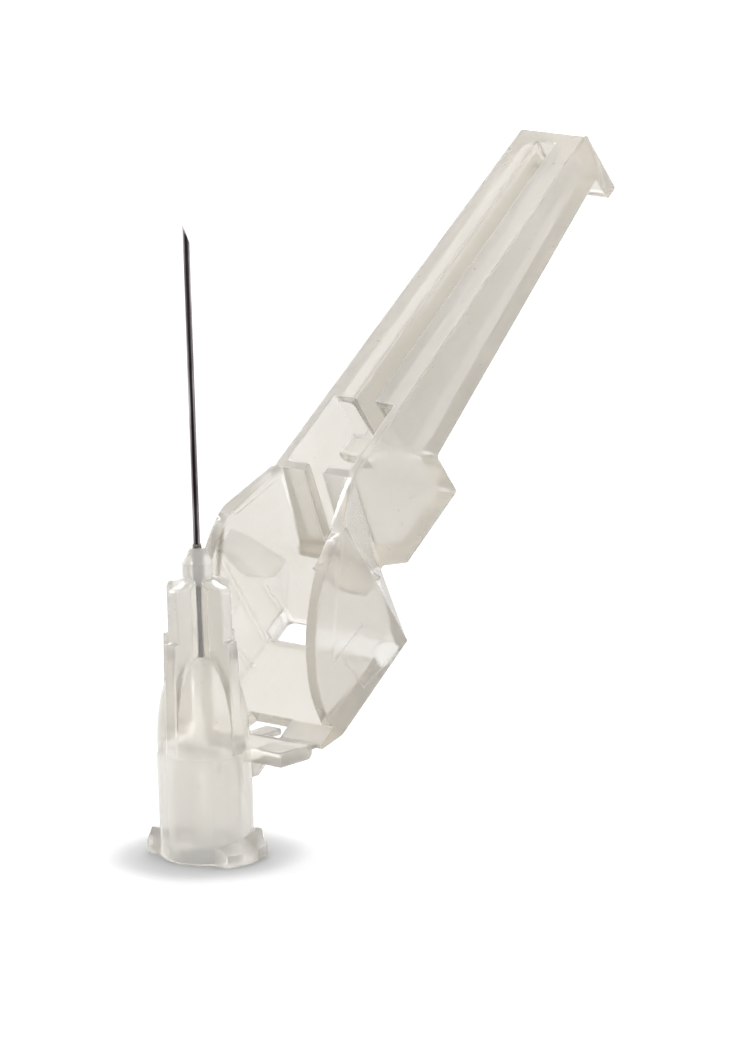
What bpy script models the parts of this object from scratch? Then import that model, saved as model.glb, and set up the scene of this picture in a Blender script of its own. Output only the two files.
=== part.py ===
"""Safety hypodermic needle: a moulded hub with a luer socket, a bevelled steel cannula glued into
it, and a hinged shield that swings over the cannula after use.

Metres, +Z up. The origin is the centre of the hub's open end, and the cannula stands along +Z.
X runs along the hinge, and +Y points from the hub to the hinge. The shield is drawn in its own
frame: the origin is the hinge axis, X is across, Y is depth (negative towards its open front) and
Z is height up the shield, so that the shield stands upright when it is closed over the cannula.
"""

from math import atan2, cos, pi, radians, sin, sqrt, tan

import bmesh
import bpy
from mathutils import Matrix, Vector
from mathutils.geometry import interpolate_bezier

MM = 0.001

# Hub: a turned body from the luer socket up to the boss that holds the cannula
HUB_RADIUS = 2.96 * MM
HUB_SKIRT_HEIGHT = 6.87 * MM
HUB_EDGE_CHAMFER = 0.15 * MM
PARTING_STEP = 0.04 * MM
DOME_HEIGHT = 6.35 * MM
DOME_ROUNDNESS = 2.35
DOME_STEPS = 14
DOME_ROOT_RISE = 0.25 * MM
CORE_RADIUS = 0.87 * MM
BOSS_RADIUS = 0.97 * MM
BOSS_BOTTOM = 18.0 * MM
BOSS_SHOULDER = 18.85 * MM
BOSS_TOP = 19.8 * MM
BOSS_TIP_WALL = 0.12 * MM
TURN_STEPS = 96

# Luer socket, with the 6 % taper of the standard
SOCKET_MOUTH_RADIUS = 2.15 * MM
SOCKET_TAPER = 0.03
SOCKET_DEPTH = 7.5 * MM
SOCKET_CONE = 0.6 * MM
FLOW_RADIUS = 0.5 * MM

# Luer lock lugs on the hub's rim
LUG_RADIUS = 3.9 * MM
LUG_HALF_WIDTH = 1.85 * MM
LUG_RIM_HEIGHT = 0.8 * MM
LUG_ROOT_LOW = 1.2 * MM
LUG_ROOT_HIGH = 1.74 * MM
LUG_ROOT_CLEARANCE = 0.08 * MM
LUG_STATIONS = 9

# Four stiffening fins
FIN_THICKNESS = 0.9 * MM
FIN_TOP = 17.55 * MM
FIN_ROOT_TOP = 17.85 * MM
FIN_RADIUS = 2.4 * MM
FIN_CORNER = 0.55 * MM
FIN_STEP_HEIGHT = 14.1 * MM
FIN_LOW_RADIUS = 2.8 * MM
FIN_FOOT_HEIGHT = 8.87 * MM
FIN_FOOT_RADIUS = 2.99 * MM
FIN_EDGE_ROUND = 0.14 * MM

# Cannula, 27 gauge, with the adhesive that holds it in the boss
CANNULA_RADIUS = 0.205 * MM
CANNULA_BORE_RADIUS = 0.105 * MM
CANNULA_FOOT = 12.6 * MM
CANNULA_TIP = 40.2 * MM
BEVEL_LENGTH = 1.15 * MM
BEVEL_FACING = radians(41.8)
LANCET_ANGLE = radians(24)
LANCET_SWING = radians(32)
CANNULA_STEPS = 32
CANNULA_GAP = 0.03 * MM
WELL_RADIUS = 0.33 * MM
WELL_BOTTOM = 17.6 * MM
BEAD_RISE = 0.22 * MM
BEAD_EDGE = 0.02 * MM

# Hinge between the hub's bracket and the shield's back wall
HINGE_Y = 5.45 * MM
HINGE_Z = 6.46 * MM
OPEN_ANGLE = radians(54.28)
HINGE_GAP = 0.3 * MM
BRACKET_HALF_WIDTH = 4.9 * MM
BRACKET_FRONT = 1.75 * MM
BRACKET_TOP = 6.88 * MM
BRACKET_THICKNESS = 0.95 * MM
BRACKET_NOSE = 0.28 * MM
BRACKET_EDGE_ROUND = 0.12 * MM
GUSSET_HALF_WIDTH = 1.9 * MM
GUSSET_FOOT = 4.75 * MM
TONGUE_HALF_WIDTH = 0.65 * MM
TONGUE_THICKNESS = 0.45 * MM
TONGUE_END = 6.55 * MM
TONGUE_ROOT = 0.5 * MM

# Cover: the wide lower end of the shield, which closes round the hub
COVER_HALF_WIDTH = 5.2 * MM
COVER_WALL = 0.9 * MM
COVER_TOP_FRONT = 10.25 * MM
COVER_TOP_BACK = 9.75 * MM
COVER_DEPTH = 9.65 * MM
COVER_FOOT = 1.43 * MM
COVER_FOOT_DEPTH = 0.66 * MM
COVER_FRONT_BOW = 0.45
COVER_HEEL_DEPTH = 0.66 * MM
COVER_HEEL_HEIGHT = 1.9 * MM
FILM_NOSE_RADIUS = 0.2 * MM
WINDOW_RELIEF = 0.4 * MM
WINDOW_RELIEF_DEPTH = 1.0 * MM
WINDOW_BOTTOM = 7.27 * MM
WINDOW_TOP = 9.5 * MM
WINDOW_CORNER = 0.5 * MM
HINGE_SLOT_HALF_WIDTH = 1.8 * MM

# Flare between the cover and the narrow channel
THROAT_FRONT = 13.95 * MM
THROAT_BACK = 12.25 * MM
THROAT_BACK_DEPTH = 3.5 * MM
THROAT_PLATE = 0.6 * MM
FLARE_FLANGE = 0.55 * MM
FLARE_FLANGE_FOOT = 0.3 * MM
FLARE_FLANGE_WIDTH = 0.2 * MM
FLARE_FLANGE_TOP_WIDTH = 1.1 * MM

# Channel: the narrow upper part that closes round the cannula
CHANNEL_TOP = 44.45 * MM
CHANNEL_TOP_HALF_WIDTH = 2.68 * MM
CHANNEL_SIDE_TAPER = 0.0215
CHANNEL_FRONT_DEPTH = 9.87 * MM
CHANNEL_FRONT_TAPER = 0.0218
CHANNEL_BACK_DEPTH = 4.95 * MM
CHANNEL_BACK_TAPER = 0.1114
CHANNEL_WALL = 0.65 * MM
CHANNEL_BACK_WALL = 0.85 * MM
FLANGE_THICKNESS = 0.58 * MM
SLOT_HALF_WIDTH = 0.8 * MM
SLOT_WALL = 0.48 * MM
MOUTH_HEIGHT = 20.2 * MM
MOUTH_OVERLAP = 0.2 * MM
END_PLATE = 1.1 * MM
THUMB_LIP = 1.9 * MM

# Finger pad: the closed box on the channel's back, with the open bay in front of it
PAD_BOTTOM = 14.25 * MM
PAD_TOP = 20.55 * MM
PAD_DEPTH = 1.7 * MM
PAD_WALL = 1.0 * MM
PAD_END_WALL = 0.75 * MM
BAY_BOTTOM = 14.6 * MM

# Catches: a hook that keeps the cannula in, and two lugs that catch the hub
HOOK_BOTTOM = 15.9 * MM
HOOK_TOP = 17.65 * MM
HOOK_TIP = 0.5 * MM
HOOK_FRONT_DEPTH = 9.7 * MM
HOOK_BACK_DEPTH = 8.5 * MM
HOOK_TIP_THICKNESS = 0.85 * MM
HOOK_CORNER = 0.4 * MM
CATCH_REACH = 1.1 * MM
CATCH_ROOT = 0.3 * MM
CATCH_RAMP = 1.0 * MM
CATCH_DRAFT = 0.2 * MM
CATCH_FRONT_DEPTH = 9.0 * MM
CATCH_BACK_DEPTH = 4.1 * MM
CATCH_HEEL_DEPTH = 5.5 * MM
CATCH_FRONT_TOP = 9.15 * MM
CATCH_FRONT_BOTTOM = 7.35 * MM
CATCH_BACK_TOP = 10.95 * MM
CATCH_BACK_BOTTOM = 9.15 * MM
CATCH_HEEL_HEIGHT = 8.05 * MM

SHIELD_CORNER = 0.3 * MM
SHIELD_EDGE_ROUND = 0.1 * MM
POCKET_ROUND = 0.2 * MM
CORNER_FULLNESS = 0.55
CORNER_SHARE = 0.45
LEAST_CORNER = radians(20)
SHARP_EDGE = radians(35)
WELD_DISTANCE = 0.03 * MM
MERGE_DISTANCE = 0.001 * MM
OVERSHOOT = 1.0 * MM

object_parts = None
cutters = None


def clear_scene():
    for obj in list(bpy.data.objects):
        bpy.data.objects.remove(obj, do_unlink=True)


def make_collection(name):
    collection = bpy.data.collections.new(name)
    bpy.context.scene.collection.children.link(collection)
    return collection


def make_material(name, colour, roughness, metallic=0.0, transmission=0.0):
    material = bpy.data.materials.new(name)
    material.use_nodes = True
    shader = material.node_tree.nodes["Principled BSDF"]
    shader.inputs["Base Color"].default_value = (*colour, 1.0)
    shader.inputs["Roughness"].default_value = roughness
    shader.inputs["Metallic"].default_value = metallic
    shader.inputs["Transmission Weight"].default_value = transmission
    return material


def make_object(name, bm):
    """A closed mesh object in the cutters collection; keep() makes it a part of the product."""
    bmesh.ops.recalc_face_normals(bm, faces=bm.faces)
    mesh = bpy.data.meshes.new(name)
    bm.to_mesh(mesh)
    bm.free()
    obj = bpy.data.objects.new(name, mesh)
    obj.hide_render = True
    obj.display_type = "WIRE"
    cutters.objects.link(obj)
    return obj


def revolve(name, profile, steps, ring=False):
    """A turned solid. The profile's (radius, height) points run down the outer side; a ring's
    profile goes back up its inner side and closes."""
    bm = bmesh.new()
    points = [bm.verts.new((radius, 0, height)) for radius, height in profile]
    for first, second in zip(points, points[1:]):
        bm.edges.new((first, second))
    if ring:
        bm.edges.new((points[-1], points[0]))
    obj = make_object(name, bm)
    turn = obj.modifiers.new("turn", "SCREW")
    turn.steps = steps
    turn.render_steps = steps
    turn.use_merge_vertices = True
    turn.merge_threshold = MERGE_DISTANCE
    return obj


def loft(name, sections):
    """A solid skinned over sections that have the same number of points."""
    bm = bmesh.new()
    rings = [[bm.verts.new(point) for point in section] for section in sections]
    for low, high in zip(rings, rings[1:]):
        for i in range(len(low)):
            j = (i + 1) % len(low)
            bm.faces.new((low[i], low[j], high[j], high[i]))
    bm.faces.new(rings[0])
    bm.faces.new(rings[-1])
    return make_object(name, bm)


def flat_piece(name, outline, low, high, axes):
    """A filled outline, as thick as low to high. The axes say which of the outline's two
    coordinates, and the thickness as the third, becomes X, Y and Z."""
    curve = bpy.data.curves.new(name, "CURVE")
    curve.dimensions = "2D"
    curve.fill_mode = "BOTH"
    curve.extrude = (high - low) / 2
    spline = curve.splines.new("POLY")
    spline.points.add(len(outline) - 1)
    for point, (across, up) in zip(spline.points, outline):
        point.co = (across, up, 0, 1)
    spline.use_cyclic_u = True
    drawn = bpy.data.objects.new(name, curve)
    cutters.objects.link(drawn)
    bpy.context.view_layer.update()
    filled = drawn.evaluated_get(bpy.context.evaluated_depsgraph_get())
    bm = bmesh.new()
    bm.from_mesh(filled.to_mesh())
    filled.to_mesh_clear()
    bpy.data.objects.remove(drawn)
    bmesh.ops.remove_doubles(bm, verts=bm.verts, dist=MERGE_DISTANCE)
    bmesh.ops.dissolve_limit(bm, angle_limit=radians(0.1), verts=bm.verts, edges=bm.edges)
    for vertex in bm.verts:
        place = (vertex.co.x, vertex.co.y, vertex.co.z + (low + high) / 2)
        vertex.co = [place[axis] for axis in axes]
    bm.normal_update()
    return make_object(name, bm)


def side_prism(name, outline, x_low, x_high):
    """An outline of (y, z) points with its thickness along X."""
    return flat_piece(name, outline, x_low, x_high, (2, 0, 1))


def front_prism(name, outline, y_low, y_high):
    """An outline of (x, z) points with its thickness along Y."""
    return flat_piece(name, outline, y_low, y_high, (0, 2, 1))


def plan_prism(name, outline, z_low, z_high):
    """An outline of (x, y) points with its thickness along Z."""
    return flat_piece(name, outline, z_low, z_high, (0, 1, 2))


def arc(centre, radius, start, end, count):
    """Points on a circle, from one angle in degrees to another."""
    angles = [radians(start + (end - start) * i / (count - 1)) for i in range(count)]
    return [(centre[0] + radius * cos(a), centre[1] + radius * sin(a)) for a in angles]


def rounded_rectangle(left, right, bottom, top, radius, count=6):
    corners = ((right, top, 0), (left, top, 90), (left, bottom, 180), (right, bottom, 270))
    points = []
    for x, y, start in corners:
        centre = (x - radius if x == right else x + radius, y - radius if y == top else y + radius)
        points += arc(centre, radius, start, start + 90, count)
    return points


def rounded(path, radius):
    """The path with each sharp corner between its ends turned into a short curve."""
    points = [Vector(point) for point in path]
    result = [tuple(points[0])]
    for before, corner, after in zip(points, points[1:], points[2:]):
        back = before - corner
        ahead = after - corner
        turn = pi - back.angle(ahead)
        if turn < LEAST_CORNER:
            result.append(tuple(corner))
            continue
        reach = min(radius * tan(turn / 2), CORNER_SHARE * back.length, CORNER_SHARE * ahead.length)
        start = corner + reach * back.normalized()
        end = corner + reach * ahead.normalized()
        handles = [point.lerp(corner, CORNER_FULLNESS) for point in (start, end)]
        result += [(point.x, point.y) for point in interpolate_bezier(start, *handles, end, 5)]
    return result + [tuple(points[-1])]


def mirrored(outline):
    """A half outline, listed from the top down at +X, closed by its mirror image."""
    return outline + [(-x, z) for x, z in reversed(outline)]


def combine(obj, other, operation):
    boolean = obj.modifiers.new(other.name, "BOOLEAN")
    boolean.operation = operation
    boolean.solver = "EXACT"
    boolean.object = other


def cut(obj, *others):
    for other in others:
        combine(obj, other, "DIFFERENCE")


def join(obj, *others):
    for other in others:
        combine(obj, other, "UNION")


def keep(obj, material):
    """Makes the object a part of the product: its modifiers are applied, and its shading set."""
    bpy.context.view_layer.update()
    evaluated = obj.evaluated_get(bpy.context.evaluated_depsgraph_get())
    mesh = bpy.data.meshes.new_from_object(evaluated)
    mesh.name = obj.name
    obj.modifiers.clear()
    obj.data = mesh
    mesh.materials.clear()
    mesh.materials.append(material)
    mesh.shade_smooth()
    mesh.set_sharp_from_angle(angle=SHARP_EDGE)
    obj.hide_render = False
    obj.display_type = "TEXTURED"
    cutters.objects.unlink(obj)
    object_parts.objects.link(obj)
    return obj


def round_edges(obj, width):
    """Rounds each sharp edge, after welding the specks that a Boolean leaves."""
    weld = obj.modifiers.new("weld", "WELD")
    weld.merge_threshold = WELD_DISTANCE
    bevel = obj.modifiers.new("rounded edges", "BEVEL")
    bevel.width = width
    bevel.segments = 2
    bevel.limit_method = "ANGLE"
    bevel.angle_limit = SHARP_EDGE
    bevel.use_clamp_overlap = False
    return obj


def dome_profile():
    """The dome between the fins: a blunt superellipse from the core down to the skirt."""
    top_radius = HUB_RADIUS - PARTING_STEP
    power = 2 / DOME_ROUNDNESS
    turns = [pi / 2 * (1 - i / DOME_STEPS) for i in range(1, DOME_STEPS + 1)]
    points = [
        (top_radius * cos(turn) ** power, HUB_SKIRT_HEIGHT + DOME_HEIGHT * sin(turn) ** power)
        for turn in turns
    ]
    return [point for point in points if point[0] > CORE_RADIUS + DOME_ROOT_RISE / 2]


def hub_body():
    tip = WELL_RADIUS + BOSS_TIP_WALL
    dome = dome_profile()
    root = (CORE_RADIUS, dome[0][1] + DOME_ROOT_RISE)
    profile = [
        (0, BOSS_TOP),
        (tip, BOSS_TOP),
        (BOSS_RADIUS, BOSS_SHOULDER),
        (BOSS_RADIUS, BOSS_BOTTOM),
        (CORE_RADIUS, BOSS_BOTTOM),
        root,
        *dome,
        (HUB_RADIUS, HUB_SKIRT_HEIGHT),
        (HUB_RADIUS, HUB_EDGE_CHAMFER),
        (HUB_RADIUS - HUB_EDGE_CHAMFER, 0),
        (0, 0),
    ]
    return revolve("hub", profile, TURN_STEPS)


def hub_bore():
    """The luer socket, the flow channel above it, the cannula's bore and the adhesive's well."""
    socket_end = SOCKET_MOUTH_RADIUS - SOCKET_TAPER * SOCKET_DEPTH
    cannula_hole = CANNULA_RADIUS + CANNULA_GAP
    seat = CANNULA_FOOT - CANNULA_GAP
    profile = [
        (0, BOSS_TOP + OVERSHOOT),
        (WELL_RADIUS, BOSS_TOP + OVERSHOOT),
        (WELL_RADIUS, WELL_BOTTOM),
        (cannula_hole, WELL_BOTTOM),
        (cannula_hole, seat),
        (FLOW_RADIUS, seat - (FLOW_RADIUS - cannula_hole)),
        (FLOW_RADIUS, SOCKET_DEPTH + SOCKET_CONE),
        (socket_end, SOCKET_DEPTH),
        (SOCKET_MOUTH_RADIUS, 0),
        (SOCKET_MOUTH_RADIUS + SOCKET_TAPER * OVERSHOOT, -OVERSHOOT),
        (0, -OVERSHOOT),
    ]
    return revolve("hub bore", profile, TURN_STEPS)


def luer_lug(side):
    """One lug, whose top climbs along the rim as a piece of thread."""
    sections = []
    for i in range(LUG_STATIONS):
        share = i / (LUG_STATIONS - 1)
        along = LUG_HALF_WIDTH * (2 * share - 1)
        root_top = LUG_ROOT_LOW + (LUG_ROOT_HIGH - LUG_ROOT_LOW) * share
        outer = sqrt(LUG_RADIUS**2 - along**2)
        inner = SOCKET_MOUTH_RADIUS + LUG_ROOT_CLEARANCE
        chamfer = HUB_EDGE_CHAMFER
        section = [
            (inner, 0.0),
            (outer - chamfer, 0.0),
            (outer, chamfer),
            (outer, LUG_RIM_HEIGHT),
            (HUB_RADIUS, root_top),
            (inner, root_top),
        ]
        sections.append([(side * x, side * along, z) for x, z in section])
    return loft(f"luer lug {side:+d}", sections)


def fin_pair(name, along_x):
    """Two opposite fins, as one plate through the hub's axis."""
    corner = (FIN_RADIUS - FIN_CORNER, FIN_TOP - FIN_CORNER)
    half = [
        (BOSS_RADIUS, FIN_ROOT_TOP),
        *reversed(arc(corner, FIN_CORNER, 0, 90, 7)),
        (FIN_RADIUS, FIN_STEP_HEIGHT),
        (FIN_LOW_RADIUS, FIN_STEP_HEIGHT),
        (FIN_FOOT_RADIUS, FIN_FOOT_HEIGHT),
        (FIN_FOOT_RADIUS, HUB_SKIRT_HEIGHT),
        (SOCKET_MOUTH_RADIUS, HUB_SKIRT_HEIGHT),
    ]
    build = front_prism if along_x else side_prism
    fins = build(name, mirrored(half), -FIN_THICKNESS / 2, FIN_THICKNESS / 2)
    return round_edges(fins, FIN_EDGE_ROUND)


def bracket():
    """The plate on the hub's side that carries the hinge, with the gusset under it."""
    end = HINGE_Y - COVER_WALL / 2 - HINGE_GAP
    bottom = BRACKET_TOP - BRACKET_THICKNESS
    middle = BRACKET_TOP - BRACKET_THICKNESS / 2
    plate = [
        (BRACKET_FRONT, BRACKET_TOP),
        (end, BRACKET_TOP),
        (end, bottom + BRACKET_NOSE),
        (end - BRACKET_NOSE, bottom),
        (BRACKET_FRONT, bottom),
    ]
    wedge = [
        (BRACKET_FRONT, middle),
        (BRACKET_FRONT, GUSSET_FOOT),
        (HUB_RADIUS, GUSSET_FOOT),
        (end - BRACKET_NOSE, bottom),
        (end - BRACKET_NOSE, middle),
    ]
    tongue = [
        (end - TONGUE_ROOT, BRACKET_TOP),
        (TONGUE_END, BRACKET_TOP),
        (TONGUE_END, BRACKET_TOP - TONGUE_THICKNESS),
        (end - TONGUE_ROOT, BRACKET_TOP - TONGUE_THICKNESS),
    ]
    return (
        side_prism("bracket plate", plate, -BRACKET_HALF_WIDTH, BRACKET_HALF_WIDTH),
        side_prism("bracket gusset", wedge, -GUSSET_HALF_WIDTH, GUSSET_HALF_WIDTH),
        side_prism("bracket tongue", tongue, -TONGUE_HALF_WIDTH, TONGUE_HALF_WIDTH),
    )


def make_hub(material):
    hub = hub_body()
    join(hub, luer_lug(1), luer_lug(-1))
    join(hub, fin_pair("fins along x", True), fin_pair("fins along y", False))
    plate, gusset, tongue = bracket()
    join(plate, gusset, tongue)
    join(hub, round_edges(plate, BRACKET_EDGE_ROUND))
    cut(hub, hub_bore())
    return keep(hub, material)


def make_cannula(material):
    """A steel tube, ground to a main bevel and two lancet facets."""
    profile = [
        (CANNULA_RADIUS, CANNULA_TIP),
        (CANNULA_RADIUS, CANNULA_FOOT),
        (CANNULA_BORE_RADIUS, CANNULA_FOOT),
        (CANNULA_BORE_RADIUS, CANNULA_TIP),
    ]
    cannula = revolve("cannula", profile, CANNULA_STEPS, ring=True)
    bevel_angle = atan2(2 * CANNULA_RADIUS, BEVEL_LENGTH)
    point = Vector((-CANNULA_RADIUS, 0, CANNULA_TIP))
    grinds = [(bevel_angle, 0.0), (LANCET_ANGLE, LANCET_SWING), (LANCET_ANGLE, -LANCET_SWING)]
    size = 4 * BEVEL_LENGTH
    block = [(0, -size), (size, -size), (size, size), (0, size)]
    for i, (angle, swing) in enumerate(grinds):
        wheel = plan_prism(f"grind {i}", block, -size, size)
        turned = Matrix.Rotation(swing, 4, "Z") @ Matrix.Rotation(-angle, 4, "Y")
        centred = Matrix.Translation(point) @ turned
        wheel.matrix_world = Matrix.Rotation(BEVEL_FACING, 4, "Z") @ centred
        cut(cannula, wheel)
    return keep(cannula, material)


def make_adhesive(material):
    """The glue in the boss's well, with a small collar where it climbs the cannula."""
    outer = WELL_RADIUS - CANNULA_GAP
    inner = CANNULA_RADIUS + CANNULA_GAP
    bottom = WELL_BOTTOM + CANNULA_GAP
    profile = [
        (inner, BOSS_TOP + BEAD_RISE),
        (inner + BEAD_EDGE, BOSS_TOP + BEAD_RISE),
        (outer, BOSS_TOP + BEAD_EDGE),
        (outer, bottom),
        (inner, bottom),
    ]
    return keep(revolve("adhesive", profile, CANNULA_STEPS, ring=True), material)


def half_width(height):
    """The channel's outer half width, which narrows towards the top."""
    return CHANNEL_TOP_HALF_WIDTH + (CHANNEL_TOP - height) * CHANNEL_SIDE_TAPER


def front_depth(height):
    return -CHANNEL_FRONT_DEPTH - (height - BAY_BOTTOM) * CHANNEL_FRONT_TAPER


def back_depth(height):
    return -CHANNEL_BACK_DEPTH - (height - PAD_TOP) * CHANNEL_BACK_TAPER


def throat_height(depth):
    """The height of the slanted plane where the flare ends and the channel starts."""
    slope = (THROAT_FRONT - THROAT_BACK) / (CHANNEL_FRONT_DEPTH - THROAT_BACK_DEPTH)
    return THROAT_BACK + (-depth - THROAT_BACK_DEPTH) * slope


def cover_top(depth):
    """The height of the slanted plane where the cover ends and the flare starts."""
    skin = COVER_WALL / 2
    slope = (COVER_TOP_FRONT - COVER_TOP_BACK) / (COVER_DEPTH + skin)
    return COVER_TOP_BACK + (skin - depth) * slope


def shield_side_outline():
    """The shield seen from the side, as (depth, height) points."""
    start = Vector((-COVER_DEPTH, COVER_TOP_FRONT))
    end = Vector((-COVER_FOOT_DEPTH, COVER_FOOT))
    drop = (start.y - end.y) * COVER_FRONT_BOW
    run = (end.x - start.x) * COVER_FRONT_BOW
    bow = interpolate_bezier(start, start - Vector((0, drop)), end - Vector((run, 0)), end, 20)
    skin = COVER_WALL / 2
    nose = arc((FILM_NOSE_RADIUS - skin, 0), FILM_NOSE_RADIUS, 180, 360, 7)
    plate_foot = CHANNEL_TOP - END_PLATE
    back = [
        (COVER_HEEL_DEPTH, COVER_HEEL_HEIGHT),
        (skin, COVER_TOP_BACK),
        (-THROAT_BACK_DEPTH, THROAT_BACK),
        (-PAD_DEPTH, PAD_BOTTOM),
        (-PAD_DEPTH, PAD_TOP),
        (back_depth(PAD_TOP), PAD_TOP),
        (back_depth(plate_foot), plate_foot),
        (back_depth(plate_foot) + THUMB_LIP, plate_foot),
        (back_depth(plate_foot) + THUMB_LIP, CHANNEL_TOP),
        (front_depth(CHANNEL_TOP), CHANNEL_TOP),
        (front_depth(THROAT_FRONT), THROAT_FRONT),
    ]
    front = [(point.x, point.y) for point in bow]
    return [*front, (-skin, COVER_FOOT), *nose, *rounded(back, SHIELD_CORNER)]


def slanted_section(half, height_at, front, back):
    """A rectangle across the shield, whose front and back edges stand at their own heights."""
    return [
        (-half, front, height_at(front)),
        (half, front, height_at(front)),
        (half, back, height_at(back)),
        (-half, back, height_at(back)),
    ]


def plan_form(name, inset_low, inset_high, front, back, low, high):
    """The shield's widths: wide cover, flare and tapering channel, inset from the outer face."""
    sections = [
        slanted_section(COVER_HALF_WIDTH - inset_low, lambda depth: low, front, back),
        slanted_section(COVER_HALF_WIDTH - inset_low, cover_top, front, back),
        slanted_section(half_width(THROAT_FRONT) - inset_high, throat_height, front, back),
    ]
    if high:
        top = half_width(high) - inset_high
        sections.append(slanted_section(top, lambda depth: high, front, back))
    return loft(name, sections)


def cover_hollow():
    """The space for the hub: it follows the cover and the flare, and is open at the front."""
    skin = COVER_WALL / 2
    front = -CHANNEL_FRONT_DEPTH - 2 * OVERSHOOT
    hollow = plan_form("cover hollow", COVER_WALL, CHANNEL_WALL, front, skin, -OVERSHOOT, None)
    lean = COVER_WALL / 2
    side = [
        (front - OVERSHOOT, -2 * OVERSHOOT),
        (-skin, -2 * OVERSHOOT),
        (-skin, COVER_TOP_BACK - lean),
        (-THROAT_BACK_DEPTH - COVER_WALL, throat_height(-THROAT_BACK_DEPTH) - lean),
        (-THROAT_BACK_DEPTH - COVER_WALL, THROAT_BACK),
        (front - OVERSHOOT, throat_height(front - OVERSHOOT)),
    ]
    reach = COVER_HALF_WIDTH + OVERSHOOT
    combine(hollow, side_prism("cover hollow side", side, -reach, reach), "INTERSECT")
    round_edges(hollow, POCKET_ROUND)
    cut(hollow, flare_flange(1), flare_flange(-1))
    return hollow


def bay_hollow():
    """The space in front of the finger pad, above the throat plate."""
    front = -CHANNEL_FRONT_DEPTH - 2 * OVERSHOOT
    back = -PAD_DEPTH - PAD_WALL
    roof = PAD_TOP - PAD_END_WALL
    floor_back = -THROAT_BACK_DEPTH - COVER_WALL
    side = [
        (front, throat_height(front) + THROAT_PLATE),
        (floor_back, throat_height(floor_back) + THROAT_PLATE),
        (back, PAD_BOTTOM + PAD_END_WALL),
        (back, roof),
        (back_depth(roof) - CHANNEL_BACK_WALL, roof),
        (back_depth(MOUTH_HEIGHT) - CHANNEL_BACK_WALL, MOUTH_HEIGHT),
        (front, MOUTH_HEIGHT),
    ]
    width_form = loft("bay hollow", [
        slanted_section(half_width(height) - CHANNEL_WALL, lambda depth: height, front - OVERSHOOT, 0)
        for height in (THROAT_BACK, MOUTH_HEIGHT + OVERSHOOT)
    ])
    combine(width_form, side_prism("bay side", side, -COVER_HALF_WIDTH, COVER_HALF_WIDTH), "INTERSECT")
    return round_edges(width_form, POCKET_ROUND)


def needle_slot():
    """The slot that the cannula passes through, from the throat to the end plate."""
    low = THROAT_BACK - 2 * OVERSHOOT
    high = CHANNEL_TOP - END_PLATE
    slot = loft("needle slot", [
        [
            (-SLOT_HALF_WIDTH, front_depth(height) - OVERSHOOT, height),
            (SLOT_HALF_WIDTH, front_depth(height) - OVERSHOOT, height),
            (SLOT_HALF_WIDTH, back_depth(height) - CHANNEL_BACK_WALL, height),
            (-SLOT_HALF_WIDTH, back_depth(height) - CHANNEL_BACK_WALL, height),
        ]
        for height in (low, high)
    ])
    return round_edges(slot, SHIELD_EDGE_ROUND)


def side_tunnel(side):
    """The hollow beside the slot, open to the bay and closed at the end plate."""
    inner = side * (SLOT_HALF_WIDTH + SLOT_WALL)
    sections = []
    for height in (MOUTH_HEIGHT - MOUTH_OVERLAP, CHANNEL_TOP - END_PLATE):
        outer = side * (half_width(height) - CHANNEL_WALL)
        front = front_depth(height) + FLANGE_THICKNESS
        back = back_depth(height) - CHANNEL_BACK_WALL
        sections.append([
            (inner, front, height), (outer, front, height), (outer, back, height), (inner, back, height),
        ])
    return round_edges(loft(f"side tunnel {side:+d}", sections), POCKET_ROUND)


def flare_flange(side):
    """What the cover's hollow leaves standing, a thin plate in the front corner of the flare."""
    front = front_depth(THROAT_FRONT)
    foot = (COVER_HALF_WIDTH - COVER_WALL - FLARE_FLANGE_WIDTH, COVER_TOP_FRONT - FLARE_FLANGE_FOOT)
    top = (half_width(THROAT_FRONT) - FLARE_FLANGE_TOP_WIDTH, THROAT_FRONT + OVERSHOOT)
    reach = COVER_HALF_WIDTH + OVERSHOOT
    outline = [(side * x, z) for x, z in (foot, top, (reach, top[1]), (reach, foot[1]))]
    return front_prism(f"flare flange {side:+d}", outline, front - 4 * OVERSHOOT, front + FLARE_FLANGE)


def catch_section(place, ramp, draft):
    """The catch's five corners across the shield at one place, drawn in from its root."""
    front = -CATCH_FRONT_DEPTH + ramp
    return [
        (place, front, CATCH_FRONT_TOP + draft),
        (place, -CATCH_BACK_DEPTH - draft, CATCH_BACK_TOP - draft),
        (place, -CATCH_BACK_DEPTH - draft, CATCH_BACK_BOTTOM + draft),
        (place, -CATCH_HEEL_DEPTH - draft, CATCH_HEEL_HEIGHT + draft),
        (place, front, CATCH_FRONT_BOTTOM + 2 * draft),
    ]


def cover_catch(side):
    """A ramped lug inside the cover's wall, which passes the hub's fin and catches behind it."""
    wall = COVER_HALF_WIDTH - COVER_WALL
    return loft(f"cover catch {side:+d}", [
        catch_section(side * (wall + CATCH_ROOT), 0, 0),
        catch_section(side * (wall - CATCH_REACH), CATCH_RAMP, CATCH_DRAFT),
    ])


def needle_hook():
    """The finger that reaches over the slot from one wall of the bay."""
    root = half_width(HOOK_TOP) - CHANNEL_WALL / 2
    tip_back = -HOOK_FRONT_DEPTH + HOOK_TIP_THICKNESS
    path = [
        (root, -HOOK_FRONT_DEPTH),
        (HOOK_TIP, -HOOK_FRONT_DEPTH),
        (HOOK_TIP, tip_back),
        (root, -HOOK_BACK_DEPTH),
    ]
    hook = plan_prism("needle hook", rounded(path, HOOK_CORNER), HOOK_BOTTOM, HOOK_TOP)
    return round_edges(hook, SHIELD_EDGE_ROUND)


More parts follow.
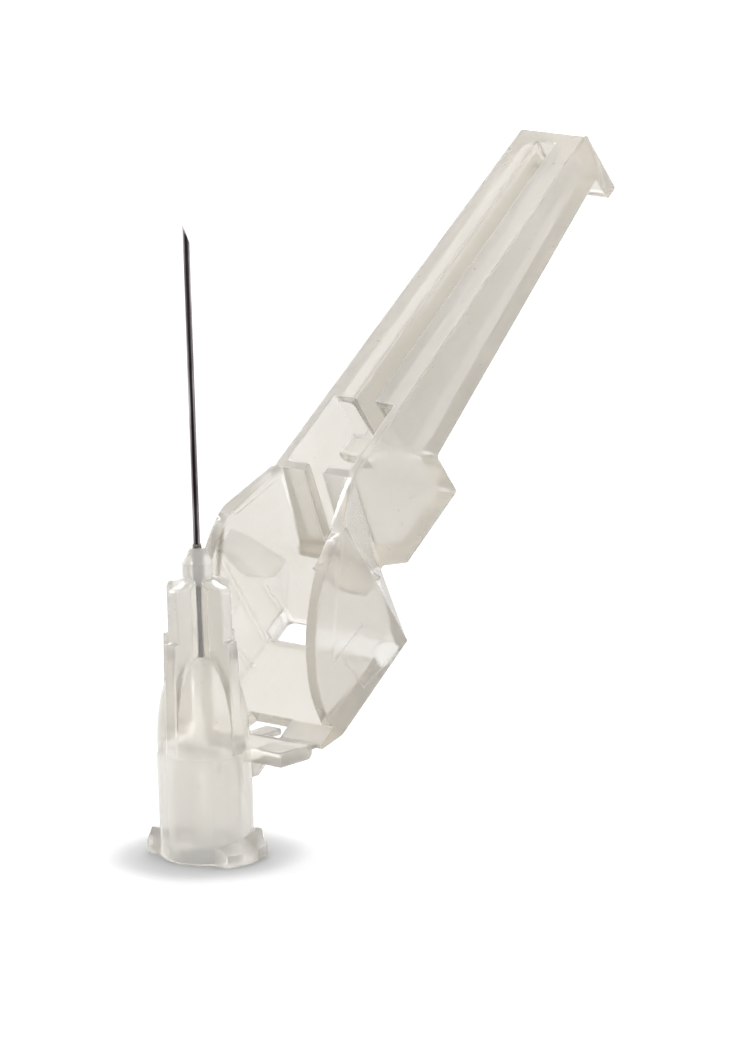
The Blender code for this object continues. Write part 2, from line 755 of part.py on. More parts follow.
def make_shield(material):
    reach = COVER_HALF_WIDTH + OVERSHOOT
    shield = side_prism("shield", shield_side_outline(), -reach, reach)
    front = -CHANNEL_FRONT_DEPTH - 2 * OVERSHOOT
    widths = plan_form("shield widths", 0, 0, front, 2 * OVERSHOOT, -OVERSHOOT, CHANNEL_TOP + OVERSHOOT)
    combine(shield, widths, "INTERSECT")
    cut(shield, cover_hollow(), bay_hollow(), needle_slot(), side_tunnel(1), side_tunnel(-1))
    window_half = COVER_HALF_WIDTH - COVER_WALL + WINDOW_RELIEF
    window = rounded_rectangle(-window_half, window_half, WINDOW_BOTTOM, WINDOW_TOP, WINDOW_CORNER)
    cut(shield, front_prism("window", window, -WINDOW_RELIEF_DEPTH, COVER_WALL))
    slot = [
        (-HINGE_SLOT_HALF_WIDTH, -OVERSHOOT),
        (HINGE_SLOT_HALF_WIDTH, -OVERSHOOT),
        (HINGE_SLOT_HALF_WIDTH, COVER_FOOT),
        (-HINGE_SLOT_HALF_WIDTH, COVER_FOOT),
    ]
    cut(shield, front_prism("hinge slot", slot, -COVER_WALL, COVER_WALL))
    join(shield, cover_catch(1), cover_catch(-1), needle_hook())
    return keep(shield, material)


def hang_shield(shield):
    """Puts the shield on the hinge axis, swung open as in use."""
    axis = bpy.data.objects.new("hinge_axis", None)
    axis.empty_display_size = 2 * MM
    axis.location = (0, HINGE_Y, HINGE_Z)
    axis.rotation_euler = (-OPEN_ANGLE, 0, 0)
    object_parts.objects.link(axis)
    shield.parent = axis


def main():
    global object_parts, cutters
    clear_scene()
    object_parts = make_collection("safety_hypodermic_needle")
    cutters = make_collection("cutters")
    make_hub(make_material("hub polypropylene", (0.86, 0.84, 0.79), 0.35, transmission=0.4))
    make_cannula(make_material("stainless steel", (0.52, 0.50, 0.50), 0.25, metallic=1.0))
    make_adhesive(make_material("adhesive", (0.35, 0.30, 0.24), 0.2, transmission=0.5))
    shield = make_shield(make_material("shield polypropylene", (0.88, 0.86, 0.82), 0.35, transmission=0.4))
    hang_shield(shield)


main()
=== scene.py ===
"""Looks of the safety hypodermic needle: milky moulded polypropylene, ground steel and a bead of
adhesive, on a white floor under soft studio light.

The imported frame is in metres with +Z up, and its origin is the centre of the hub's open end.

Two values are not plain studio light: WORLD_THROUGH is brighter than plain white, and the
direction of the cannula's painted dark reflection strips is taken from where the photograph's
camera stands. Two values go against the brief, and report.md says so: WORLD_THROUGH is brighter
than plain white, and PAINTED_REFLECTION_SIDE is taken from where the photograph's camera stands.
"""

from math import cos, radians, sin

import bmesh
import bpy
from mathutils import Matrix, Vector


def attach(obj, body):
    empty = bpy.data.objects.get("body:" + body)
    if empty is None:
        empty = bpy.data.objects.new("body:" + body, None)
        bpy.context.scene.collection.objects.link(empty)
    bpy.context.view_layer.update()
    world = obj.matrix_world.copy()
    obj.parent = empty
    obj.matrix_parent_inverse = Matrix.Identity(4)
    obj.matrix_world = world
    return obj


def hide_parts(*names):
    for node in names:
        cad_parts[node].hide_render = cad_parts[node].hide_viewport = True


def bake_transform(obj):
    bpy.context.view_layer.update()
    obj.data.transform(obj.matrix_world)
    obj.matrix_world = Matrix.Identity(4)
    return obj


MM = 0.001


def grey(value):
    return (value, value, value)


# Camera, fitted to the hub's edges, lugs and fins in the photograph
CAMERA_AZIMUTH = radians(41.84)
CAMERA_ELEVATION = radians(12.86)
CAMERA_ROLL = radians(1.69)
CAMERA_DISTANCE = 428.7 * MM
CAMERA_CLIP = (0.01, 20)
LENS = 231.2
SENSOR_HEIGHT = 36.0
IMAGE_WIDTH, IMAGE_HEIGHT = 745, 1062
HUB_BASE_PIXEL = (207.8, 854.0)

# Hinge, as the CAD model has it
HINGE = Vector((0, 5.45 * MM, 6.46 * MM))
OPEN_ANGLE = radians(54.28)

# Smooth copies of the CAD nodes, with angles in degrees where an edge counts as sharp
WELD_WITHIN = 0.002 * MM
FLAT_WITHIN = radians(0.5)
HUB_SHARP_FROM = 35
SHIELD_SHARP_FROM = 50
FILM_SHARP_FROM = 40
FLAT_FACE_WEIGHT = 100

# Rounded edges of the shield, and where its cover's walls lie
ROUNDING = 0.1 * MM
ROUNDING_SEGMENTS = 2
ROUNDED_FROM = radians(32)
ROUNDED_LENGTH = 4
ROUNDED_ABOVE = 14.1 * MM
WALL_ACROSS = 4.25 * MM
WALL_FOOT = 0.8 * MM
WALL_TOP = 9.6 * MM

# Film hinge, as (y, z, half thickness) in mm from the bracket's end to the shield's wall
FILM_STATIONS = (
    (4.60, 6.66, 0.17),
    (4.72, 6.66, 0.15),
    (4.84, 6.65, 0.12),
    (4.96, 6.64, 0.11),
    (5.08, 6.64, 0.12),
    (5.20, 6.65, 0.13),
    (5.30, 6.66, 0.12),
)
FILM_COLUMNS = 6
FILM_INNER = 1.85
FILM_OUTER = 4.85

# Patterns, as a feature's three lengths in mm, then the noise's detail and roughness
CLOUDS = ((2.6, 2.6, 3.4), 3.0, 0.55)
FLOW_LINES = ((0.5, 0.5, 6.0), 3.0, 0.5)
SATIN = ((0.11, 0.11, 0.11), 2.0, 0.6)
SPECKS = ((0.21, 0.21, 0.21), 0.0, 0.5)
# The steel's long lines are partly polishing lines and partly painted reflection
STEEL_LINES = ((0.09, 0.09, 7.0), 4.0, 0.6)
STEEL_STAINS = ((0.6, 0.6, 1.8), 3.0, 0.5)
RESIN_SPOTS = ((0.2, 0.2, 0.26), 3.0, 0.6)

# Natural polypropylene, with each absorption as a colour and a density
PLASTIC_PALE = (0.985, 0.975, 0.95)
PLASTIC_DEEP = (0.955, 0.935, 0.895)
SPECK = (0.72, 0.66, 0.58)
PLASTIC_TRANSMISSION = 0.72
PLASTIC_IOR = 1.33
PLASTIC_COAT = 0.6
PLASTIC_COAT_ROUGHNESS = 0.17
PLASTIC_COAT_IOR = 1.5
PLASTIC_BUMP = (0.2, 0.012 * MM)
HUB_ABSORPTION = ((0.9, 0.835, 0.71), 85.0)
SHIELD_ABSORPTION = ((0.875, 0.825, 0.735), 240.0)
HUB_GLOSS = (0.2, 0.262)
SHIELD_GLOSS = (0.185, 0.255)
GLOSS_PLACES = (0.38, 0.62)
CLOUD_STOPS = [(0.36, PLASTIC_DEEP), (0.6, PLASTIC_PALE)]
SPECK_STOPS = [(0.84, grey(1.0)), (0.87, SPECK)]

# Weights of clouds, flow lines and satin in the colour
COLOUR_WEIGHTS = (0.55, 0.25, 0.2)

# Weights of satin, flow lines and clouds in the gloss and in the relief
GLOSS_WEIGHTS = (0.5, 0.25, 0.25)
RELIEF_WEIGHTS = (0.3, 0.4, 0.9)

# Soft edges that the shader draws on the shield. Their stops are the cosine of the angle between
# the rounded normal and the face's own
SOFT_EDGE = 0.14 * MM
SOFT_EDGE_SAMPLES = 4
EDGE_GLINT = 2.9
EDGE_CLEARNESS = 0.3
GLINT_STOPS = [(0.8, grey(EDGE_GLINT)), (0.985, grey(PLASTIC_COAT_IOR))]
EDGE_STOPS = [(0.85, grey(EDGE_CLEARNESS)), (0.99, grey(PLASTIC_TRANSMISSION))]

# Clear core and milky boss of the hub. One unit across is 2 mm, and one unit of height is 20 mm
ACROSS_UNIT = 0.5
HEIGHT_UNIT = 0.05
CORE_TRANSMISSION = 0.86
CORE_GLOSS = 0.5
CORE_ACROSS_STOPS = [(0.5, grey(1.0)), (0.62, grey(0.0))]
CORE_HEIGHT_STOPS = [(0.61, grey(0.0)), (0.65, grey(1.0))]
CORE_GLOSS_STOPS = [(0.0, grey(1.0)), (1.0, grey(CORE_GLOSS))]
CORE_CLEAR_STOPS = [(0.0, grey(PLASTIC_TRANSMISSION)), (1.0, grey(CORE_TRANSMISSION))]
BOSS_STOPS = [(0.865, grey(1.0)), (0.885, grey(0.72))]

# Parting line round the hub, by the distance in mm from its height
PARTING_HEIGHT = 6.8
PARTING_STOPS = [(0.03, grey(2.5)), (0.09, grey(0.0))]

# Hair lines on the cover's walls, as a side and two ends (depth, height) in mm in the shield's
# frame, and how far out from the middle each side's wall begins
CREASES = (
    (1, (-3.67, 4.11), (-3.55, 7.47)),
    (1, (-2.91, 4.81), (-0.28, 5.01)),
    (1, (-0.28, 5.01), (0.03, 7.52)),
    (-1, (-2.33, 4.92), (0.45, 4.98)),
    (-1, (-7.43, 7.45), (-0.61, 7.03)),
    (-1, (-3.35, 9.2), (-0.78, 9.32)),
    (-1, (-4.45, 5.9), (-4.56, 6.93)),
)
CREASE_FACE = {1: 5.0, -1: 4.0}
CREASE_STOPS = [(0.03, grey(1.0)), (0.15, grey(0.0))]

# Catches inside the cover's walls, in mm in the shield's frame. They lean in above a height
CATCH_ACROSS = (3.1, 4.24)
CATCH_DEPTH = (-9.1, -3.9)
CATCH_HEIGHT = (7.2, 11.1)
CATCH_LEANS_ABOVE = 9.9
CATCH_LEAN = 0.75

# How much of the clearness creases and catches take away, and how high patterns and creases stand
HIDING_WEIGHTS = (0.35, 0.32)
CREASED_WEIGHTS = (1.0, 1.8)

# Cannula. Its dark strips are a painted dark reflection on the side towards the photograph's
# camera and on the opposite side. Its long lines of tone are partly polishing lines and partly
# painted reflection
PAINTED_REFLECTION_SIDE = Vector((sin(CAMERA_AZIMUTH), -cos(CAMERA_AZIMUTH), 0))
PAINTED_REFLECTION_STOPS = [(0.78, grey(1.0)), (0.965, grey(0.06))]
STEEL_STOPS = [
    (0.36, (0.09, 0.07, 0.078)),
    (0.5, (0.24, 0.205, 0.215)),
    (0.64, (0.58, 0.55, 0.55)),
]
STEEL_GLOSS_STOPS = [(0.35, grey(0.2)), (0.65, grey(0.36))]
STEEL_WEIGHTS = (0.75, 0.25)
STEEL_BUMP = (0.25, 0.004 * MM)

# Adhesive
RESIN_STOPS = [
    (0.4, (0.07, 0.055, 0.042)),
    (0.5, (0.22, 0.185, 0.14)),
    (0.62, (0.5, 0.44, 0.35)),
]
RESIN_GLOSS_STOPS = [(0.4, grey(0.08)), (0.6, grey(0.2))]
RESIN_BUMP = (0.3, 0.01 * MM)
RESIN_TRANSMISSION = 0.25

# World, as strengths for diffuse rays and for rays that plastic and steel pass on or reflect
WORLD_SOFT = 0.9
WORLD_THROUGH = 1.85
WORLD_OVERHEAD = 0.58
WORLD_STOPS = [(0.1, grey(1.0)), (0.9, grey(WORLD_OVERHEAD))]

# Floor, and its contact shadow by the share of open sky
FLOOR_RADIUS = 3.0
FLOOR_SIDES = 64
FLOOR_DROP = 0.01 * MM
FLOOR_ROUGHNESS = 0.9
FLOOR_COLOUR = 0.3
FLOOR_GLOW = 0.72
SHADOW_REACH = 4.2 * MM
SHADOW_SAMPLES = 16
SHADOW_STOPS = [
    (0.5, grey(0.42)),
    (0.86, grey(0.64)),
    (0.95, grey(0.85)),
    (0.985, grey(0.97)),
    (1.0, grey(1.0)),
]

# Lamps, as a name, a place and a size in metres, and watts
LAMPS = (
    ("key", (-0.32, 0.6, 0.4), (0.6, 0.6), 3.6),
    ("back", (-0.55, -0.1, 0.4), (0.3, 0.2), 1.6),
)
LAMP_TARGET = (0, 0.015, 0.02)


def node_tree(material):
    material.use_nodes = True
    tree = material.node_tree
    return tree, tree.nodes["Principled BSDF"]


def add(tree, kind, **settings):
    """A new shader node, with its properties set by name and its sockets by their names."""
    node = tree.nodes.new(kind)
    for key, value in settings.items():
        if key in node.inputs:
            node.inputs[key].default_value = value
        else:
            setattr(node, key, value)
    return node


def feed(tree, socket, value):
    """Sets a socket to a number or a vector, or links it to another node's output."""
    if isinstance(value, (float, Vector)):
        socket.default_value = value
    else:
        tree.links.new(value, socket)


def ramp(tree, source, stops):
    """A colour ramp fed by source, with (place, colour) stops."""
    node = tree.nodes.new("ShaderNodeValToRGB")
    elements = node.color_ramp.elements
    while len(elements) < len(stops):
        elements.new(0.5)
    for element, (place, colour) in zip(elements, stops):
        element.position = place
        element.color = (*colour, 1.0)
    tree.links.new(source, node.inputs["Fac"])
    return node.outputs["Color"]


def pattern_space(tree, turn=0.0, lengths=(1, 1, 1)):
    """The object's place in mm, in a frame turned about X, divided by a feature's lengths."""
    place = add(tree, "ShaderNodeTexCoord")
    mapping = add(tree, "ShaderNodeMapping", vector_type="TEXTURE", Rotation=(-turn, 0, 0))
    mapping.inputs["Scale"].default_value = tuple(length * MM for length in lengths)
    tree.links.new(place.outputs["Object"], mapping.inputs["Vector"])
    return mapping.outputs["Vector"]


def noise(tree, pattern, turn=0.0):
    """One of the patterns above, in a frame turned about X."""
    lengths, detail, roughness = pattern
    node = add(tree, "ShaderNodeTexNoise", Scale=1.0, Detail=detail, Roughness=roughness)
    tree.links.new(pattern_space(tree, turn, lengths), node.inputs["Vector"])
    return node.outputs["Fac"]


def maths(tree, operation, first, second=0.0):
    node = tree.nodes.new("ShaderNodeMath")
    node.operation = operation
    for socket, value in zip(node.inputs, (first, second)):
        feed(tree, socket, value)
    return node.outputs[0]


def vector_maths(tree, operation, first, second, output):
    node = tree.nodes.new("ShaderNodeVectorMath")
    node.operation = operation
    for socket, value in zip(node.inputs, (first, second)):
        feed(tree, socket, value)
    return node.outputs[output]


def scaled(tree, vector, factor):
    node = tree.nodes.new("ShaderNodeVectorMath")
    node.operation = "SCALE"
    feed(tree, node.inputs[0], vector)
    feed(tree, node.inputs["Scale"], factor)
    return node.outputs[0]


def separate(tree, vector):
    """The three numbers of a vector."""
    parts = tree.nodes.new("ShaderNodeSeparateXYZ")
    tree.links.new(vector, parts.inputs[0])
    return parts.outputs


def weighted(tree, values, weights):
    """The sum of the values, each times its weight."""
    total = None
    for value, weight in zip(values, weights):
        share = maths(tree, "MULTIPLY", value, weight)
        total = share if total is None else maths(tree, "ADD", total, share)
    return total


def tinted(tree, colour, tint):
    """The product of two colours."""
    node = tree.nodes.new("ShaderNodeMix")
    node.data_type = "RGBA"
    node.blend_type = "MULTIPLY"
    node.inputs[0].default_value = 1.0
    tree.links.new(colour, node.inputs[6])
    tree.links.new(tint, node.inputs[7])
    return node.outputs[2]


def either(tree, share, first, second):
    """The first shader where share is 0, and the second where it is 1."""
    node = tree.nodes.new("ShaderNodeMixShader")
    for socket, value in zip(node.inputs, (share, first, second)):
        tree.links.new(value, socket)
    return node.outputs[0]


def bumped(tree, shader, height, settings, normal=None):
    """Raises the surface by height. The settings are the bump's strength and distance."""
    strength, distance = settings
    bump = add(tree, "ShaderNodeBump", Strength=strength, Distance=distance)
    if normal is not None:
        tree.links.new(normal, bump.inputs["Normal"])
    tree.links.new(height, bump.inputs["Height"])
    tree.links.new(bump.outputs["Normal"], shader.inputs["Normal"])


def absorbing(tree, colour, density):
    """Fills the body with a plain tint, so that thick places and stacked walls look darker."""
    volume = add(tree, "ShaderNodeVolumeAbsorption", Density=density)
    volume.inputs["Color"].default_value = (*colour, 1.0)
    tree.links.new(volume.outputs[0], tree.nodes["Material Output"].inputs["Volume"])


def clear_core(tree):
    """1 in the hub's slim core and boss, where the plastic is clear, and 0 in the rest."""
    x, y, z = separate(tree, pattern_space(tree))
    squares = [maths(tree, "POWER", value, 2.0) for value in (x, y)]
    from_axis = maths(tree, "SQRT", maths(tree, "ADD", *squares))
    slim = ramp(tree, maths(tree, "MULTIPLY", from_axis, ACROSS_UNIT), CORE_ACROSS_STOPS)
    high = ramp(tree, maths(tree, "MULTIPLY", z, HEIGHT_UNIT), CORE_HEIGHT_STOPS)
    return maths(tree, "MULTIPLY", slim, high)


def boss_milk(tree):
    """A share of the clearness, lower in the boss at the top, which looks milky."""
    height = separate(tree, pattern_space(tree))[2]
    return ramp(tree, maths(tree, "MULTIPLY", height, HEIGHT_UNIT), BOSS_STOPS)


def parting_line(tree):
    """A raised hair line round the hub where the mould's halves met, at the top of the skirt."""
    height = separate(tree, pattern_space(tree))[2]
    away = maths(tree, "ABSOLUTE", maths(tree, "SUBTRACT", height, PARTING_HEIGHT))
    return ramp(tree, away, PARTING_STOPS)


def shield_place(tree):
    """The place in the shield's frame in mm: across as a value, (0, depth, height) as a vector."""
    across, depth, height = separate(tree, pattern_space(tree, OPEN_ANGLE))
    hinge = Matrix.Rotation(OPEN_ANGLE, 3, "X") @ HINGE / MM
    flat = tree.nodes.new("ShaderNodeCombineXYZ")
    tree.links.new(maths(tree, "SUBTRACT", depth, hinge.y), flat.inputs[1])
    tree.links.new(maths(tree, "SUBTRACT", height, hinge.z), flat.inputs[2])
    return across, flat.outputs[0]


def crease_lines(tree, across, place):
    """1 on the hair lines of the cover's walls, left by the mould's inserts, and 0 beside them."""
    total = None
    for side, start, end in CREASES:
        start, end = Vector((0, *start)), Vector((0, *end))
        span = end - start
        offset = vector_maths(tree, "SUBTRACT", place, start, "Vector")
        along = vector_maths(tree, "DOT_PRODUCT", offset, span, "Value")
        share = maths(tree, "DIVIDE", along, span.length_squared)
        share.node.use_clamp = True
        foot = scaled(tree, span, share)
        line = ramp(tree, vector_maths(tree, "DISTANCE", offset, foot, "Value"), CREASE_STOPS)
        outward = maths(tree, "MULTIPLY", across, float(side))
        face = maths(tree, "GREATER_THAN", outward, CREASE_FACE[side])
        line = maths(tree, "MULTIPLY", line, face)
        total = line if total is None else maths(tree, "MAXIMUM", total, line)
    return total


def catch_body(tree, across, place):
    """1 in the two catches inside the cover's walls, and 0 in the rest of the shield."""
    _, depth, height = separate(tree, place)
    above = maths(tree, "MAXIMUM", maths(tree, "SUBTRACT", height, CATCH_LEANS_ABOVE), 0.0)
    lean = maths(tree, "MULTIPLY", above, CATCH_LEAN)
    reach = maths(tree, "ADD", maths(tree, "ABSOLUTE", across), lean)
    inside = None
    for value, (low, high) in (
        (reach, CATCH_ACROSS),
        (depth, CATCH_DEPTH),
        (height, CATCH_HEIGHT),
    ):
        for operation, limit in (("LESS_THAN", high), ("GREATER_THAN", low)):
            test = maths(tree, operation, value, limit)
            inside = test if inside is None else maths(tree, "MULTIPLY", inside, test)
    return inside


def soft_edges(tree, shader):
    """Glints on the shield's rounded edges. Gives the rounded normal and the clearness."""
    bevel = add(tree, "ShaderNodeBevel", samples=SOFT_EDGE_SAMPLES, Radius=SOFT_EDGE)
    normal = bevel.outputs["Normal"]
    tree.links.new(normal, shader.inputs["Coat Normal"])
    flat = tree.nodes.new("ShaderNodeNewGeometry").outputs["Normal"]
    facing = vector_maths(tree, "DOT_PRODUCT", normal, flat, "Value")
    tree.links.new(ramp(tree, facing, GLINT_STOPS), shader.inputs["Coat IOR"])
    return normal, ramp(tree, facing, EDGE_STOPS)


def moulded_plastic(name, gloss_range, absorption, is_shield):
    """Natural polypropylene: milky, with faint flow lines and a fine satin skin."""
    material = bpy.data.materials.new(name)
    tree, shader = node_tree(material)
    turn = OPEN_ANGLE if is_shield else 0.0
    clouds, flow, satin, specks = (
        noise(tree, pattern, turn) for pattern in (CLOUDS, FLOW_LINES, SATIN, SPECKS)
    )
    cloudy = ramp(tree, weighted(tree, (clouds, flow, satin), COLOUR_WEIGHTS), CLOUD_STOPS)
    colour = tinted(tree, cloudy, ramp(tree, specks, SPECK_STOPS))
    gloss_stops = [(place, grey(value)) for place, value in zip(GLOSS_PLACES, gloss_range)]
    rough = ramp(tree, weighted(tree, (satin, flow, clouds), GLOSS_WEIGHTS), gloss_stops)
    relief = weighted(tree, (satin, flow, clouds), RELIEF_WEIGHTS)
    normal = None
    if is_shield:
        normal, clear = soft_edges(tree, shader)
        across, place = shield_place(tree)
        creases = crease_lines(tree, across, place)
        hidden = weighted(tree, (creases, catch_body(tree, across, place)), HIDING_WEIGHTS)
        clear = maths(tree, "MULTIPLY", clear, maths(tree, "SUBTRACT", 1.0, hidden))
        relief = weighted(tree, (relief, creases), CREASED_WEIGHTS)
    else:
        core = clear_core(tree)
        rough = maths(tree, "MULTIPLY", rough, ramp(tree, core, CORE_GLOSS_STOPS))
        clear = maths(tree, "MULTIPLY", ramp(tree, core, CORE_CLEAR_STOPS), boss_milk(tree))
        relief = maths(tree, "ADD", relief, parting_line(tree))
    tree.links.new(colour, shader.inputs["Base Color"])
    tree.links.new(rough, shader.inputs["Roughness"])
    tree.links.new(clear, shader.inputs["Transmission Weight"])
    bumped(tree, shader, relief, PLASTIC_BUMP, normal)
    shader.inputs["Transmission Weight"].default_value = PLASTIC_TRANSMISSION
    shader.inputs["IOR"].default_value = PLASTIC_IOR
    shader.inputs["Coat Weight"].default_value = PLASTIC_COAT
    shader.inputs["Coat Roughness"].default_value = PLASTIC_COAT_ROUGHNESS
    shader.inputs["Coat IOR"].default_value = PLASTIC_COAT_IOR
    absorbing(tree, *absorption)
    return material


def ground_steel(name):
    """Drawn steel tube: long lines from dark violet grey to pale, partly polishing lines and
    partly painted reflection, and painted dark reflection strips on two opposite sides.
    """
    material = bpy.data.materials.new(name)
    tree, shader = node_tree(material)
    # Long lines, partly polishing lines and partly painted reflection, mixed with stains
    patterns = (noise(tree, STEEL_LINES), noise(tree, STEEL_STAINS))
    mixed = weighted(tree, patterns, STEEL_WEIGHTS)
    # Painted dark reflection: the colour is darker where the surface faces towards or away from
    # the photograph's camera
    facing = tree.nodes.new("ShaderNodeTexCoord").outputs["Normal"]
    facing = vector_maths(tree, "DOT_PRODUCT", facing, PAINTED_REFLECTION_SIDE, "Value")
    strip = ramp(tree, maths(tree, "ABSOLUTE", facing), PAINTED_REFLECTION_STOPS)
    colour = tinted(tree, ramp(tree, mixed, STEEL_STOPS), strip)
    tree.links.new(colour, shader.inputs["Base Color"])
    tree.links.new(ramp(tree, mixed, STEEL_GLOSS_STOPS), shader.inputs["Roughness"])
    bumped(tree, shader, mixed, STEEL_BUMP)
    shader.inputs["Metallic"].default_value = 1.0
    return material


def cured_adhesive(name):
    """Amber-grey adhesive, mottled with small bubbles."""
    material = bpy.data.materials.new(name)
    tree, shader = node_tree(material)
    spots = noise(tree, RESIN_SPOTS)
    tree.links.new(ramp(tree, spots, RESIN_STOPS), shader.inputs["Base Color"])
    tree.links.new(ramp(tree, spots, RESIN_GLOSS_STOPS), shader.inputs["Roughness"])
    bumped(tree, shader, spots, RESIN_BUMP)
    shader.inputs["Transmission Weight"].default_value = RESIN_TRANSMISSION
    return material


def mesh_of(name, bm):
    mesh = bpy.data.meshes.new(name)
    bm.to_mesh(mesh)
    bm.free()
    return mesh


def show(name, mesh):
    piece = bpy.data.objects.new(name, mesh)
    bpy.context.scene.collection.objects.link(piece)
    return piece


def smooth(mesh, sharp_from):
    mesh.shade_smooth()
    mesh.set_sharp_from_angle(angle=radians(sharp_from))


def takes_rounding(edge):
    """True on the shield's channel, pad and end plate, and on its cover's outer corners."""
    heights = [
        (v.co.y - HINGE.y) * sin(OPEN_ANGLE) + (v.co.z - HINGE.z) * cos(OPEN_ANGLE)
        for v in edge.verts
    ]
    if min(heights) > ROUNDED_ABOVE:
        return True
    walls = all(abs(v.co.x) > WALL_ACROSS for v in edge.verts)
    return walls and edge.is_convex and max(heights) < WALL_TOP and min(heights) > WALL_FOOT


def skin_of(node, name, radius, sharp_from):
    """A copy of a CAD node's mesh with its facets welded and its edges rounded."""
    bm = bmesh.new()
    bm.from_mesh(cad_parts[node].data)
    bmesh.ops.remove_doubles(bm, verts=bm.verts, dist=WELD_WITHIN)
    bmesh.ops.dissolve_limit(bm, angle_limit=FLAT_WITHIN, verts=bm.verts, edges=bm.edges)
    if radius:
        sharp = [
            edge
            for edge in bm.edges
            if edge.calc_length() > ROUNDED_LENGTH * radius
            and edge.calc_face_angle() > ROUNDED_FROM
            and takes_rounding(edge)
        ]
        bmesh.ops.bevel(
            bm,
            geom=sharp,
            offset=radius,
            offset_type="OFFSET",
            segments=ROUNDING_SEGMENTS,
            profile=0.5,
            affect="EDGES",
            clamp_overlap=False,
            loop_slide=True,
        )
    mesh = mesh_of(name, bm)
    piece = show(name, mesh)
    smooth(mesh, sharp_from)
    flatten = piece.modifiers.new("flat faces stay flat", "WEIGHTED_NORMAL")
    flatten.weight = FLAT_FACE_WEIGHT
    flatten.keep_sharp = True
    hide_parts(node)
    return piece


def film_hinge(name, inner, outer):
    """The thin web that joins the hub's bracket to the shield on one side of the middle slot."""
    bm = bmesh.new()
    across = [inner + (outer - inner) * i / FILM_COLUMNS for i in range(FILM_COLUMNS + 1)]
    rings = []
    for y, z, half in FILM_STATIONS:
        top = [bm.verts.new((x * MM, y * MM, (z + half) * MM)) for x in across]
        bottom = [bm.verts.new((x * MM, y * MM, (z - half) * MM)) for x in reversed(across)]
        rings.append(top + bottom)
    for first, second in zip(rings, rings[1:]):
        for i, point in enumerate(first):
            j = (i + 1) % len(first)
            bm.faces.new((point, first[j], second[j], second[i]))
    for ring in (rings[0], rings[-1]):
        last = len(ring) - 1
        for i in range(FILM_COLUMNS):
            bm.faces.new((ring[i], ring[i + 1], ring[last - i - 1], ring[last - i]))
    bmesh.ops.recalc_face_normals(bm, faces=bm.faces)
    mesh = mesh_of(name, bm)
    smooth(mesh, FILM_SHARP_FROM)
    film = show(name, mesh)
    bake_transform(film)
    return film


def paint(piece, material):
    piece.data.materials.clear()
    piece.data.materials.append(material)


def add_camera():
    """The photograph's view: a long lens that looks down on the hub from its front left."""
    turn, tilt, roll = CAMERA_AZIMUTH, CAMERA_ELEVATION, CAMERA_ROLL
    away = Vector((-sin(turn), cos(turn), 0))
    across = Vector((cos(turn), sin(turn), 0))
    forward = cos(tilt) * away - sin(tilt) * Vector((0, 0, 1))
    upward = cos(tilt) * Vector((0, 0, 1)) + sin(tilt) * away
    right = cos(roll) * across - sin(roll) * upward
    up = cos(roll) * upward + sin(roll) * across
    pixel = SENSOR_HEIGHT / LENS / IMAGE_HEIGHT
    side = (HUB_BASE_PIXEL[0] - IMAGE_WIDTH / 2) * pixel
    drop = (HUB_BASE_PIXEL[1] - IMAGE_HEIGHT / 2) * pixel
    place = CAMERA_DISTANCE * (drop * up - side * right - forward)
    data = bpy.data.cameras.new("camera")
    data.lens = LENS
    data.sensor_fit = "VERTICAL"
    data.sensor_height = SENSOR_HEIGHT
    data.clip_start, data.clip_end = CAMERA_CLIP
    camera = bpy.data.objects.new("camera", data)
    matrix = Matrix((right, up, -forward)).transposed().to_4x4()
    matrix.translation = place
    camera.matrix_world = matrix
    bpy.context.scene.collection.objects.link(camera)
    bpy.context.scene.camera = camera


def seen_directly(tree):
    """1 for the camera's rays and those that mirrors and clear plastic pass on, else 0."""
    path = tree.nodes.new("ShaderNodeLightPath")
    rays = maths(tree, "MAXIMUM", path.outputs["Is Camera Ray"], path.outputs["Is Glossy Ray"])
    return maths(tree, "MAXIMUM", rays, path.outputs["Is Transmission Ray"])


def add_floor():
    """A pale floor that shows as white where it is seen, and darkens where the hub stands."""
    bm = bmesh.new()
    bmesh.ops.create_circle(bm, cap_ends=True, segments=FLOOR_SIDES, radius=FLOOR_RADIUS)
    floor = show("floor", mesh_of("floor", bm))
    floor.location.z = -FLOOR_DROP
    material = bpy.data.materials.new("floor")
    tree, shader = node_tree(material)
    shader.inputs["Roughness"].default_value = FLOOR_ROUGHNESS
    contact = add(
        tree, "ShaderNodeAmbientOcclusion", samples=SHADOW_SAMPLES, Distance=SHADOW_REACH
    )
    shade = ramp(tree, contact.outputs["AO"], SHADOW_STOPS)
    tree.links.new(scaled(tree, shade, FLOOR_COLOUR), shader.inputs["Base Color"])
    glow = add(tree, "ShaderNodeEmission", Strength=FLOOR_GLOW)
    tree.links.new(shade, glow.inputs["Color"])
    both = tree.nodes.new("ShaderNodeAddShader")
    tree.links.new(shader.outputs[0], both.inputs[0])
    tree.links.new(glow.outputs[0], both.inputs[1])
    shown = either(tree, seen_directly(tree), shader.outputs[0], both.outputs[0])
    tree.links.new(shown, tree.nodes["Material Output"].inputs["Surface"])
    paint(floor, material)


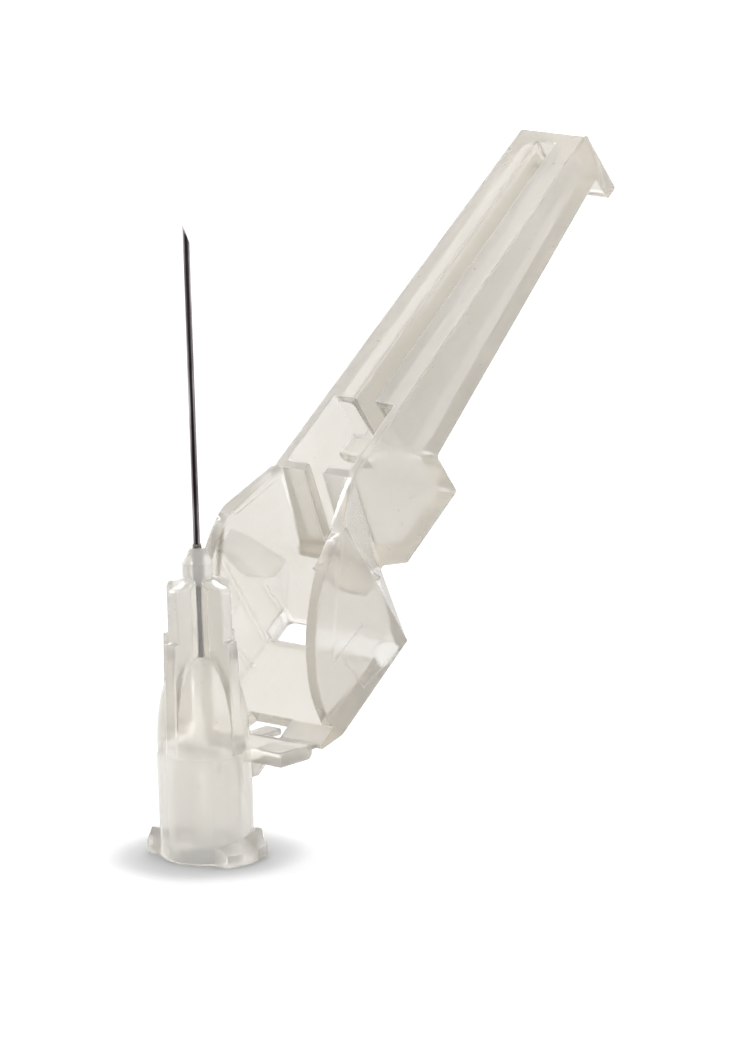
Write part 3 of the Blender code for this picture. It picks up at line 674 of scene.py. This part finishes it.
def light_world():
    """A room that the camera sees as white. It is dimmer overhead, and brighter than white where
    plastic and steel pass it on."""
    world = bpy.data.worlds.new("studio")
    bpy.context.scene.world = world
    world.use_nodes = True
    tree = world.node_tree
    upward = separate(tree, tree.nodes.new("ShaderNodeTexCoord").outputs["Generated"])[2]
    tone = ramp(tree, upward, WORLD_STOPS)
    soft = tree.nodes["Background"]
    soft.inputs["Strength"].default_value = WORLD_SOFT
    through = add(tree, "ShaderNodeBackground", Strength=WORLD_THROUGH)
    for room in (soft, through):
        tree.links.new(tone, room.inputs["Color"])
    white = add(tree, "ShaderNodeBackground", Strength=1.0, Color=(1, 1, 1, 1))
    passed = either(tree, seen_directly(tree), soft.outputs[0], through.outputs[0])
    is_camera = tree.nodes.new("ShaderNodeLightPath").outputs["Is Camera Ray"]
    shown = either(tree, is_camera, passed, white.outputs[0])
    tree.links.new(shown, tree.nodes["World Output"].inputs["Surface"])


def add_lamp(name, place, size, watts):
    """A softbox that faces the object and isn't seen through the plastic."""
    data = bpy.data.lights.new(name, "AREA")
    data.shape = "RECTANGLE"
    data.size, data.size_y = size
    data.energy = watts
    lamp = bpy.data.objects.new(name, data)
    lamp.location = place
    aim = Vector(LAMP_TARGET) - Vector(place)
    lamp.rotation_euler = aim.to_track_quat("-Z", "Y").to_euler()
    lamp.visible_transmission = False
    bpy.context.scene.collection.objects.link(lamp)


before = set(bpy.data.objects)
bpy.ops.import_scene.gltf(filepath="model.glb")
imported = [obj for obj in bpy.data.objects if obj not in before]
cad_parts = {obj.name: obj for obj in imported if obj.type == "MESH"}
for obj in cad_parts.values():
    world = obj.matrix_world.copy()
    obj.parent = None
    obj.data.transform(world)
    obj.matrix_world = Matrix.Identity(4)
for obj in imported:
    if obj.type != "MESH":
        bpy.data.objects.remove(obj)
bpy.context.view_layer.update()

hub = skin_of("hub", "hub_moulding", 0.0, HUB_SHARP_FROM)
shield = skin_of("shield", "shield_moulding", ROUNDING, SHIELD_SHARP_FROM)
hub_plastic = moulded_plastic("hub_plastic", HUB_GLOSS, HUB_ABSORPTION, is_shield=False)
shield_plastic = moulded_plastic("shield_plastic", SHIELD_GLOSS, SHIELD_ABSORPTION, is_shield=True)
paint(hub, hub_plastic)
paint(shield, shield_plastic)
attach(hub, "hub")
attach(shield, "shield")
for side, name in ((-1, "film_hinge_left"), (1, "film_hinge_right")):
    paint(film_hinge(name, side * FILM_INNER, side * FILM_OUTER), hub_plastic)
paint(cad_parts["cannula"], ground_steel("cannula_steel"))
paint(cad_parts["adhesive"], cured_adhesive("adhesive_resin"))

add_camera()
add_floor()
light_world()
for lamp in LAMPS:
    add_lamp(*lamp)
bpy.context.scene.view_settings.view_transform = "Standard"
